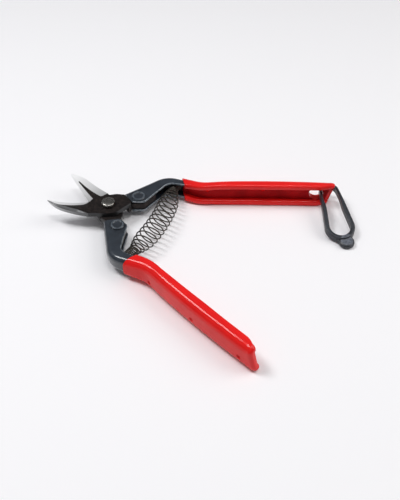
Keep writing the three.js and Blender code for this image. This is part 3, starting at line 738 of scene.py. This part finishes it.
def plate_outline():
    """The pivot plate and the tang, from the blade's heel round the back and home by the crown."""
    def shaped(shares):
        return spline([(a * PLATE_HALF_WIDTH, b * PLATE_HALF_WIDTH) for a, b in shares], PLATE_CURVE_STEPS)

    normal = Vector((math.cos(math.radians(BACK_ANGLE)), -math.sin(math.radians(BACK_ANGLE))))
    along = Vector((-normal.y, normal.x))
    back = [tuple(normal * BACK_REACH + along * run) for run in (BACK_START_RUN, BACK_END_RUN)]
    web_side = SHEET_WALL + BEND_RADIUS + SEAT_GAP
    tang = [
        inside_web(0, HEAD_FLANGE - TANG_HIDE),
        inside_web(CORNER_RUN, CORNER_FLANGE - TANG_HIDE),
        inside_web(TANG_RUN, plain_depth(TANG_RUN) - TANG_HIDE),
        inside_web(TANG_RUN, web_side),
        inside_web(0, web_side),
    ]
    return [(-HEEL_REACH, SPINE_HEEL), *shaped(BELLY_SHARES), *back, *((u, v) for u, v, _ in tang),
            *shaped(TOP_SHARES), (-HEEL_REACH, EDGE_HEEL - BEVEL_WIDTH)]


def blade(prefix, matrix, rise):
    """The plate before the channel, its thinner lap, the tang in the channel and the blade, made one."""
    outline = plate_outline()
    heading = math.radians(SHOULDER_HEADING)
    to_channel = WEB_START[0] * math.cos(heading) + WEB_START[1] * math.sin(heading)
    near = clip(outline, to_channel - PLATE_STEP_GAP, SHOULDER_HEADING, True)
    low = rise * PLATE_RISE + MATING_GAP
    high = rise * PLATE_RISE + PLATE_TOP
    tang_top = TANG_THICKNESS / 2
    beyond = clip(outline, BACK_REACH + STOP_GAP, BACK_ANGLE - 2 * CLOSED_HALF_ANGLE, False)
    overlap = HEEL_OVERLAP / (BLADE_REACH - HEEL_REACH)
    shares = [-overlap, 0, overlap, 2 * overlap]
    shares += [1 - (1 - i / BLADE_STATIONS) ** CROWD_SHARE for i in range(1, BLADE_STATIONS + 1)]
    rings = [blade_ring(share, rise) for share in shares]
    finishes = [dark_steel, ground_steel, spine_steel, chamfer_steel]
    lap = prism(outline, low, min(high, tang_top))
    tang = prism(beyond, -tang_top, tang_top)
    body = loft(rings, lambda i: blade_zones(shares[i]))
    thing = build(f"{prefix}_cutting_blade", prism(near, low, high, CHAMFER), matrix, finishes)
    for form in (lap, tang, body):
        combine(thing, build("form", form, matrix, finishes), "UNION")
    combine(thing, build("hole", rod(BORE_RADIUS), matrix, finishes), "DIFFERENCE")
    return soften(thing, STEEL_EDGE)


def tang_rivet(prefix, matrix):
    seat = HEAD_HEIGHT / 2 + SEAT_GAP
    top = seat + RIVET_HEAD_HEIGHT
    half = [
        (RIVET_RADIUS, seat),
        (RIVET_HEAD_RADIUS, seat),
        (RIVET_HEAD_RADIUS, top - RIVET_BEVEL),
        (RIVET_HEAD_RADIUS - RIVET_BEVEL, top),
        (RIVET_DISH_RADIUS + RIVET_BEVEL, top),
        (RIVET_DISH_RADIUS, top - RIVET_DISH_DEPTH),
        (0, top - RIVET_DISH_DEPTH),
    ]
    lower = [(r, -h) for r, h in reversed(half)]
    # the rivet's side and dish ring take the painted highlight
    zones = [int(band in RIVET_HIGHLIT_BANDS) for band in range(len(lower + half) - 1)]
    rivet = turned(lower + half, ROUND_SIDES, (RIVET_U, RIVET_V), zones)
    thing = build(f"{prefix}_dished_rivet", rivet, matrix, [painted_steel, painted_highlight_steel])
    return soften(thing, RIVET_ROUNDING, FINE_SHARP_DEGREES)


# Bolt, washer and nut, stacked down from the top of the upper plate

BOLT_SEAT = PLATE_RISE + PLATE_TOP + SEAT_GAP


def span(node):
    """A node's lowest and highest points, in millimetres from the tool's middle height."""
    low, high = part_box(node)
    return low.z / MM - MID_HEIGHT, high.z / MM - MID_HEIGHT


def pivot_bolt():
    """The bolt, with the thread's ridges where it shows under the nut and a low dome on its head."""
    end, top = span("pivot_bolt")
    nut_low, _ = span("pivot_nut")
    h = end + BOLT_CHAMFER
    rows = [(0, end), (BOLT_RADIUS - BOLT_CHAMFER, end), (BOLT_RADIUS, h)]
    while h < nut_low:
        rows += [(BOLT_RADIUS - THREAD_DEPTH, h + THREAD_PITCH / 2), (BOLT_RADIUS, h + THREAD_PITCH)]
        h += THREAD_PITCH
    rows += [
        (BOLT_RADIUS, BOLT_SEAT),
        (BOLT_HEAD_RADIUS - BOLT_SEAT_CHAMFER, BOLT_SEAT),
        (BOLT_HEAD_RADIUS, BOLT_SEAT + BOLT_SEAT_CHAMFER),
    ]
    rim = (BOLT_HEAD_RADIUS - BOLT_CHAMFER, top - BOLT_DOME - BOLT_CHAMFER)
    rows += arc(rim, BOLT_CHAMFER, 0, BOLT_RIM_DEGREES, BOLT_RIM_STEPS)
    start_radius, start_height = rows[-1]
    for i in range(1, BOLT_DOME_STEPS):
        left = 1 - i / BOLT_DOME_STEPS
        rows.append((start_radius * left, lerp(start_height, top, 1 - left ** 2)))
    rows.append((0, top))
    thing = build("bolt_with_thread", turned(rows), TOOL, [nickel])
    return shade(thing, BOLT_SHARP_DEGREES)


def pivot_washer():
    low, high = span("pivot_washer")
    corners = [(BORE_RADIUS, low), (WASHER_RADIUS, low), (WASHER_RADIUS, high), (BORE_RADIUS, high)]
    rings = [[(r * x, r * y, h) for r, h in corners] for x, y in circle(1, ROUND_SIDES)]
    thing = build("thin_washer", loft(rings, joined=True), TOOL, [nickel])
    return soften(thing, WASHER_ROUNDING)


def pivot_nut():
    low, high = span("pivot_nut")
    corner = NUT_ACROSS_FLATS / 2 / math.cos(math.pi / NUT_SIDES)
    crown = [
        (0, low), (corner - NUT_CHAMFER, low), (corner, low + NUT_CHAMFER / 2),
        (corner, high - NUT_CHAMFER / 2), (corner - NUT_CHAMFER, high), (0, high),
    ]
    thing = build("hexagon_nut", prism(circle(corner, NUT_SIDES), low, high), TOOL, [nickel])
    combine(thing, build("crown", turned(crown), TOOL, [nickel]), "INTERSECT")
    combine(thing, build("hole", rod(BORE_RADIUS), TOOL, [nickel]), "DIFFERENCE")
    return soften(thing, NUT_ROUNDING)


# Spring and pegs, drawn across the open tool

def spring_seat():
    """Where the spring meets the web's inside: along the open tool, and across it."""
    u, v, _ = inside_web(SEAT_START, SHEET_WALL)
    c, s = math.cos(OPEN_HALF_ANGLE), math.sin(OPEN_HALF_ANGLE)
    return u * c - v * s, u * s + v * c


SPRING_STATION = spring_seat()[0] + SPRING_INSET
PEG_SEAT = spring_seat()[1] - SEAT_GAP
SPRING_END = PEG_SEAT - PEG_BASE_THICKNESS - SEAT_GAP - SPRING_WIRE / 2


def spring_peg(prefix, side):
    face = PEG_SEAT - PEG_BASE_THICKNESS
    rows = [
        (0, face - PEG_LENGTH), (PEG_RADIUS - PEG_NOSE, face - PEG_LENGTH),
        (PEG_RADIUS, face - PEG_LENGTH + PEG_NOSE), (PEG_RADIUS, face),
        (PEG_BASE_RADIUS, face), (PEG_BASE_RADIUS, PEG_SEAT), (0, PEG_SEAT),
    ]
    lying = Matrix.Translation((SPRING_STATION, 0, 0)) @ Matrix.Rotation(-math.pi / 2, 4, "X")
    thing = build(f"{prefix}_seat_peg", turned(rows), half_matrix(side, 0) @ lying, [spring_steel])
    return soften(thing, PEG_ROUNDING, FINE_SHARP_DEGREES)


def spring_openness(curl):
    """How far a curl is from the close ones at the ends (0) to the open belly (1)."""
    from_low = smoothstep(curl, LOW_END_CURLS, LOW_OPEN_CURLS)
    return from_low * smoothstep(SPRING_CURLS - curl, HIGH_END_CURLS, HIGH_OPEN_CURLS)


def spring_line():
    """The right-handed wire's centre line, from the lower end to the upper one."""
    steps = SPRING_CURLS * CURL_STEPS
    curls = [(i - 0.5) / CURL_STEPS for i in range(1, steps + 1)]
    opened = np.concatenate([[0], np.cumsum([spring_openness(curl) for curl in curls])])
    spare = 2 * SPRING_END - SPRING_CURLS * END_PITCH
    points = []
    for i in range(steps + 1):
        curl = i / CURL_STEPS
        open_share = spring_openness(curl)
        end_radius = SPRING_LOW_RADIUS if curl < SPRING_CURLS / 2 else SPRING_HIGH_RADIUS
        radius = lerp(end_radius, SPRING_BELLY_RADIUS, open_share)
        along = -SPRING_END + END_PITCH * curl + spare * opened[i] / opened[-1]
        bow = SPRING_BOW * math.cos(math.pi / 2 * min(1, abs(along) / (SPRING_END - PEG_LENGTH)))
        x = SPRING_STATION + bow + radius * math.cos(2 * math.pi * curl)
        z = -radius * math.sin(2 * math.pi * curl)
        points.append(Vector((x, along - math.tan(math.radians(SPRING_LEAN)) * open_share * z, z)))
    first = points[0] + (points[0] - points[1]).normalized() * SPRING_WIRE
    last = points[-1] + (points[-1] - points[-2]).normalized() * SPRING_WIRE
    return [first, *points, last]


def return_spring():
    points = spring_line()
    rings = []
    for i, point in enumerate(points):
        forward = (points[min(i + 1, len(points) - 1)] - points[max(i - 1, 0)]).normalized()
        side = Vector((0, 1, 0)).cross(forward).normalized()
        up = forward.cross(side)
        rings.append([point + side * x + up * y for x, y in circle(SPRING_WIRE / 2, WIRE_SIDES)])
    return smooth(build("coiled_wire", loft(rings), TOOL, [spring_steel]))


# Locking strap, drawn from its swivel along +X, sinking to the table

STRAP_DROP = MID_HEIGHT - TABLE_GAP - STRAP_HEIGHT / 2
STRAP_END = STRAP_REACH - TAB_START + TAB_BITE - STRAP_BAND / 2
STRAP_FAR_CENTRE = STRAP_END - STRAP_FAR_INSET


def strap_path():
    """Places and outward angles along the band's middle line, from the turn at the swivel."""
    shares = np.linspace(0, 1, STRAP_TURN_STEPS + 1)

    def turn(centre, inset, start):
        angles = start + math.pi * shares
        return [(centre + inset * math.cos(angle), inset * math.sin(angle), angle) for angle in angles]

    def side(sign):
        insets = lerp(STRAP_NEAR_INSET, STRAP_FAR_INSET, shares)
        return [(STRAP_FAR_CENTRE * share, sign * inset, sign * math.pi / 2)
                for share, inset in zip(shares[1:-1], insets[1:-1])]

    return (turn(0, STRAP_NEAR_INSET, math.pi / 2) + side(-1)
            + turn(STRAP_FAR_CENTRE, STRAP_FAR_INSET, -math.pi / 2) + side(1)[::-1])


def strap_rings():
    half_band, half_height, corner = STRAP_BAND / 2, STRAP_HEIGHT / 2, STRAP_CORNER
    section = []
    for start, (x, y) in zip((0, 90, 180, 270), ((1, 1), (-1, 1), (-1, -1), (1, -1))):
        centre = (x * (half_band - corner), y * (half_height - corner))
        section += arc(centre, corner, start, start + 90, STRAP_CORNER_STEPS)
    rings = []
    for x, y, angle in strap_path():
        droop = -STRAP_DROP * (max(x, 0) / STRAP_END) ** STRAP_DROOP_POWER
        swell = STRAP_SWELL * smoothstep(x, STRAP_SWELL_START, STRAP_SWELL_END)
        ring = []
        for out, up in section:
            out -= swell * (0.5 - out / STRAP_BAND)
            ring.append((x + out * math.cos(angle), y + out * math.sin(angle), droop + up))
        rings.append(ring)
    return rings


def tab_shoulders(centre):
    """The outline of the web of plastic that joins the round tab to the band's end."""
    reach = STRAP_FAR_INSET + STRAP_BAND / 2
    band = [(STRAP_FAR_CENTRE + reach * math.cos(a), reach * math.sin(a))
            for a in np.radians(np.linspace(*TAB_SHOULDERS, TAB_SHOULDER_STEPS + 1))]
    return [*band, (centre[0], centre[1] + TAB_RADIUS), (centre[0], centre[1] - TAB_RADIUS)]


def locking_strap(matrix):
    """The band, the tab and its shoulders, remeshed into one soft moulding."""
    low = -MID_HEIGHT + TABLE_GAP
    high = low + TAB_THICKNESS
    rows = [
        (0, low), (TAB_RADIUS - TAB_BEVEL, low), (TAB_RADIUS, low + TAB_BEVEL),
        (TAB_RADIUS, high - TAB_BEVEL), (TAB_RADIUS - TAB_BEVEL, high),
        (TAB_FACE_RADIUS + TAB_FACE_SLOPE, high), (TAB_FACE_RADIUS, high + TAB_FACE_RISE),
        (0, high + TAB_FACE_RISE),
    ]
    land_start = STRAP_HOLE_RUN + STRAP_HOLE_RADIUS
    u, v, heading = inside_web((land_start + WEB_LENGTH + VINYL_SKIN) / 2, SHEET_WALL / 2)
    turn = Matrix.Rotation(heading - math.pi / 2 + math.radians(STRAP_REST_ANGLE), 4, "Z")
    placed = matrix @ Matrix.Translation((u, v, 0)) @ turn
    finishes = [black_plastic, grained_plastic_painted_sheen]
    thing = build("moulded_strap", loft(strap_rings(), joined=True), placed, finishes)
    tab_centre = (STRAP_REACH - TAB_SET_BACK, TAB_OFFSET)
    tab = turned(rows, TAB_SIDES, tab_centre)
    shoulders = prism(tab_shoulders(tab_centre), low + TAB_BEVEL, high)
    for form in (tab, shoulders):
        combine(thing, build("form", form, placed, [black_plastic]), "UNION")
    remesh = thing.modifiers.new("Remesh", "REMESH")
    remesh.mode = "VOXEL"
    remesh.voxel_size = STRAP_VOXEL * MM
    thing.modifiers.new("Smooth", "SMOOTH").iterations = STRAP_SMOOTHING
    settle(thing)
    tab_middle = placed @ Vector((*tab_centre, high))
    # The tab's upward faces get the paler finish, a painted sheen
    for face in thing.data.polygons:
        away = (face.center - tab_middle).xy.length / MM
        if face.normal.z > TAB_FACE_UPWARD and away < TAB_FACE_RADIUS:
            face.material_index = 1
    return smooth(thing)


# Finishes

def linear(red, green, blue):
    """A colour as it looks on screen, 0 to 255, as Blender's linear values."""
    def channel(value):
        share = value / 255
        return share / 12.92 if share <= 0.04045 else ((share + 0.055) / 1.055) ** 2.4

    return channel(red), channel(green), channel(blue), 1


MOST_NOISE = (0.3, 0.7)           # the values between which most of a noise lies
SCRATCH_SIZE, SCRATCH_DETAIL = 0.5, 4
SCRATCH_STRETCH, SCRATCH_TURN = (1, 9, 9), 0.6
SCRATCH_ROUGHNESS, SCRATCH_DEPTH = (0.28, 0.45), 0.01


class Finish:
    """A material whose colour, roughness and relief vary over the piece. The sockets are those inputs of
    its shader that have one value all over."""

    def __init__(self, name, sockets):
        self.material = bpy.data.materials.new(name)
        self.material.use_nodes = True
        self.tree = self.material.node_tree
        self.shader = self.tree.nodes["Principled BSDF"]
        self.feed(self.shader, sockets)
        self.place = self.tree.nodes.new("ShaderNodeTexCoord").outputs["Object"]

    def feed(self, node, inputs):
        """Sets a node's inputs, each to a value or linked to another node's output."""
        for name, value in inputs.items():
            if isinstance(value, bpy.types.NodeSocket):
                self.tree.links.new(value, node.inputs[name])
            else:
                node.inputs[name].default_value = value

    def node(self, kind, inputs):
        node = self.tree.nodes.new(f"ShaderNode{kind}")
        self.feed(node, inputs)
        return node

    def noise(self, size, detail, roughness=0.55, stretch=(1, 1, 1), turn=0):
        """Noise with blobs of about a size in millimetres."""
        mapping = self.node("Mapping", {"Vector": self.place, "Scale": stretch, "Rotation": (0, 0, turn)})
        noise = self.node("TexNoise", {
            "Vector": mapping.outputs["Vector"], "Scale": 1 / (size * MM),
            "Detail": detail, "Roughness": roughness,
        })
        return noise.outputs["Fac"]

    def away(self, reach):
        """The distance from the pivot, as a share of a reach in millimetres."""
        distance = self.node("VectorMath", {0: self.place, 1: PIVOT})
        distance.operation = "DISTANCE"
        share = self.node("Math", {0: distance.outputs["Value"], 1: reach * MM})
        share.operation = "DIVIDE"
        return share.outputs["Value"]

    def colour(self, value, stops):
        """Base colour from a value, by stops of a share and a screen colour."""
        ramp = self.node("ValToRGB", {"Fac": value})
        elements = ramp.color_ramp.elements
        while len(elements) < len(stops):
            elements.new(0.5)
        for element, (share, screen_colour) in zip(elements, stops):
            element.position = share
            element.color = linear(*screen_colour)
        self.feed(self.shader, {"Base Color": ramp.outputs["Color"]})

    def rough(self, value, limits):
        """Roughness between two limits."""
        ends = zip(("From Min", "From Max", "To Min", "To Max"), (*MOST_NOISE, *limits))
        node = self.node("MapRange", {"Value": value, **dict(ends)})
        self.feed(self.shader, {"Roughness": node.outputs["Result"]})

    def bump(self, value, depth, strength=1):
        """Relief of about a depth in millimetres."""
        node = self.node("Bump", {"Height": value, "Strength": strength, "Distance": depth * MM})
        self.feed(self.shader, {"Normal": node.outputs["Normal"]})


def mottled(name, sockets, colour, stops, rough, limits, relief=None, depth=0, strength=1):
    """A finish that varies with noise. Colour, rough and relief are each what their noise is made with, its
    size in millimetres first."""
    finish = Finish(name, sockets)
    finish.colour(finish.noise(*colour), stops)
    finish.rough(finish.noise(*rough), limits)
    if relief:
        finish.bump(finish.noise(*relief), depth, strength)
    return finish.material


def ground_with_painted_sheen(name, metallic, greys):
    """Ground faces with a painted reflection: brighter from the plate towards the tip, as the lifted tip
    would catch the pale table. Greys at shares of the blade's reach.
    """
    finish = Finish(name, {"Metallic": metallic})
    finish.colour(finish.away(BLADE_REACH), [(share, (grey, grey, grey + 1)) for share, grey in greys])
    scratches = finish.noise(SCRATCH_SIZE, SCRATCH_DETAIL, stretch=SCRATCH_STRETCH, turn=SCRATCH_TURN)
    finish.rough(scratches, SCRATCH_ROUGHNESS)
    finish.bump(scratches, SCRATCH_DEPTH)
    return finish.material


painted_steel = mottled(
    "painted_steel",
    {"Metallic": 0.1, "Coat Weight": 1, "Coat Roughness": 0.12, "Specular IOR Level": 0.35},
    colour=(11, 5, 0.6), stops=[(0.32, (27, 33, 41)), (0.68, (50, 58, 68))],
    rough=(2.5, 4), limits=(0.3, 0.45), relief=(0.5, 2), depth=0.01)
# The flanges' cut edges: paler as worn paint, and paler still as a painted highlight along them
worn_and_highlit_edge = mottled(
    "worn_and_highlit_edge", {"Metallic": 0.6, "Coat Weight": 0.2},
    colour=(1.5, 4), stops=[(0.35, (84, 93, 102)), (0.62, (150, 158, 164))],
    rough=(1.5, 3), limits=(0.3, 0.5))
# Painted highlight on the rivets: their sides and the rings round their dishes are paler, where light would
# catch them
painted_highlight_steel = mottled(
    "painted_highlight_steel", {"Metallic": 0.3, "Coat Weight": 0.8, "Coat Roughness": 0.12},
    colour=(1.5, 3), stops=[(0.35, (58, 67, 77)), (0.65, (96, 105, 114))],
    rough=(1.5, 3), limits=(0.3, 0.45))
dark_steel = mottled(
    "dark_steel", {"Metallic": 0.7},
    colour=(1.8, 6, 0.65), stops=[(0.3, (30, 27, 27)), (0.52, (46, 40, 39)), (0.75, (72, 60, 55))],
    rough=(1.2, 5), limits=(0.28, 0.55), relief=(0.35, 3), depth=0.015)
# The brightening towards each blade's tip on these faces is a painted reflection
ground_steel = ground_with_painted_sheen("ground_steel", 0.35, [(0.35, 186), (0.6, 224), (0.95, 248)])
spine_steel = ground_with_painted_sheen("spine_steel", 0.5, [(0.3, 78), (0.55, 120), (0.95, 190)])
chamfer_steel = ground_with_painted_sheen("chamfer_steel", 0.5, [(0.3, 58), (0.95, 84)])
red_vinyl = mottled(
    "red_vinyl", {
        "Coat Weight": 0.5, "Coat Roughness": 0.08, "Specular IOR Level": 0.05,
        "Subsurface Weight": 0.06, "Subsurface Radius": (0.002, 0.0006, 0.0006),
    },
    colour=(9, 3), stops=[(0.3, (231, 26, 26)), (0.7, (242, 34, 32))],
    rough=(4, 4), limits=(0.28, 0.4), relief=(7, 1), depth=0.06, strength=0.4)
# The web's inside: rougher, and painted darker red as the shade under the top flange
dull_vinyl_painted_shade = mottled(
    "dull_vinyl_painted_shade", {"Specular IOR Level": 0.08},
    colour=(8, 3), stops=[(0.3, (158, 5, 13)), (0.7, (190, 14, 22))],
    rough=(3, 4), limits=(0.4, 0.6), relief=(5, 2), depth=0.06, strength=0.4)
nickel = mottled(
    "nickel", {"Metallic": 1},
    colour=(2, 4), stops=[(0.3, (128, 125, 120)), (0.7, (170, 167, 162))],
    rough=(0.6, 5), limits=(0.14, 0.3), relief=(0.4, 3), depth=0.01)
spring_steel = mottled(
    "spring_steel", {"Metallic": 0.85},
    colour=(1, 3), stops=[(0.3, (58, 54, 50)), (0.7, (96, 91, 85))],
    rough=(0.7, 3), limits=(0.25, 0.42))
black_plastic = mottled(
    "black_plastic", {},
    colour=(3, 4), stops=[(0.3, (31, 33, 37)), (0.7, (54, 57, 65))],
    rough=(1, 3), limits=(0.26, 0.42), relief=(0.35, 3), depth=0.04)
# The tab's face: a fine moulded grain, and painted paler as a sheen on its upward faces
grained_plastic_painted_sheen = mottled(
    "grained_plastic_painted_sheen", {},
    colour=(1.2, 4), stops=[(0.35, (66, 70, 78)), (0.65, (116, 121, 131))],
    rough=(1, 3), limits=(0.3, 0.45), relief=(0.5, 3), depth=0.08)


# The pieces, each riding on its body in place of its CAD node

def dress(thing, body, node):
    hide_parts(node)
    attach(thing, body)


for prefix, side in (("upper", 1), ("lower", -1)):
    matrix = half_matrix(side)
    body = f"{prefix}_handle"
    upper = side > 0
    dress(handle_channel(prefix, matrix, upper), body, f"{prefix}_handle_channel")
    dress(grip_sleeve(prefix, matrix, upper), body, f"{prefix}_grip_vinyl")
    dress(blade(prefix, matrix, side), body, f"{prefix}_blade")
    dress(tang_rivet(prefix, matrix), body, f"{prefix}_tang_rivet")
    dress(spring_peg(prefix, side), body, f"{prefix}_spring_peg")

dress(pivot_bolt(), "lower_handle", "pivot_bolt")
dress(pivot_washer(), "lower_handle", "pivot_washer")
dress(pivot_nut(), "lower_handle", "pivot_nut")
dress(locking_strap(half_matrix(1)), "strap", "locking_strap")

spring = return_spring()
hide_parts("return_spring")
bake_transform(spring)


# Table, light and camera

FLOOR_HALF = 3                    # metres
FLOOR = {"Base Color": linear(253, 252, 254), "Roughness": 0.6, "Specular IOR Level": 0.2}
WORLD = {"Color": linear(250, 251, 254), "Strength": 0.18}
NEAR_CLIP, FAR_CLIP = 0.01, 20    # metres
WHITE = (1, 1, 1)
LAMPS = (                         # name, place, target, size, watts and colour, in metres
    ("key", (0.3, 0.25, 1.4), (0, 0, 0), (1.1, 1.1), 2.6, WHITE),
    ("side", (0.8, 0.42, 0.75), (0, 0, 0), (0.75, 0.75), 4.2, (1, 0.985, 0.965)),
    ("left", (-0.52, -0.07, 0.87), (0, -0.2, 0), (0.26, 0.36), 4.5, (0.98, 0.99, 1)),
    ("top", (0.13, -0.07, 0.9), (0.12, -0.04, 0), (0.34, 0.12), 1.5, WHITE),
)


def make_floor():
    points = [(x * FLOOR_HALF, y * FLOOR_HALF, 0) for x, y in ((-1, -1), (1, -1), (1, 1), (-1, 1))]
    mesh = bpy.data.meshes.new("table")
    mesh.from_pydata(points, [], [(0, 1, 2, 3)])
    floor = bpy.data.objects.new("table", mesh)
    bpy.context.scene.collection.objects.link(floor)
    mesh.materials.append(Finish("table", FLOOR).material)


def make_world():
    world = bpy.data.worlds.new("studio")
    bpy.context.scene.world = world
    world.use_nodes = True
    background = world.node_tree.nodes["Background"]
    for socket, value in WORLD.items():
        background.inputs[socket].default_value = value


def area_light(name, place, target, size, watts, colour):
    data = bpy.data.lights.new(name, "AREA")
    data.shape = "RECTANGLE"
    data.size, data.size_y = size
    data.energy = watts
    data.color = colour
    lamp = bpy.data.objects.new(name, data)
    bpy.context.scene.collection.objects.link(lamp)
    lamp.location = place
    lamp.rotation_euler = (Vector(target) - Vector(place)).to_track_quat("-Z", "Y").to_euler()


def make_camera():
    data = bpy.data.cameras.new("camera")
    data.sensor_width = SENSOR
    data.lens = FOCAL_PIXELS / PHOTO_HEIGHT_PIXELS * SENSOR
    data.clip_start, data.clip_end = NEAR_CLIP, FAR_CLIP
    camera = bpy.data.objects.new("camera", data)
    bpy.context.scene.collection.objects.link(camera)
    offset = Matrix.Rotation(CAMERA_TURN, 4, "Z") @ (Vector(CAMERA_FROM_PIVOT) * MM)
    camera.location = (PIVOT.x + offset.x, PIVOT.y + offset.y, offset.z)
    camera.rotation_euler = (CAMERA_TILT, 0, CAMERA_TURN)
    bpy.context.scene.camera = camera


make_floor()
make_world()
make_camera()
for lamp in LAMPS:
    area_light(*lamp)
bpy.context.scene.view_settings.view_transform = "Standard"
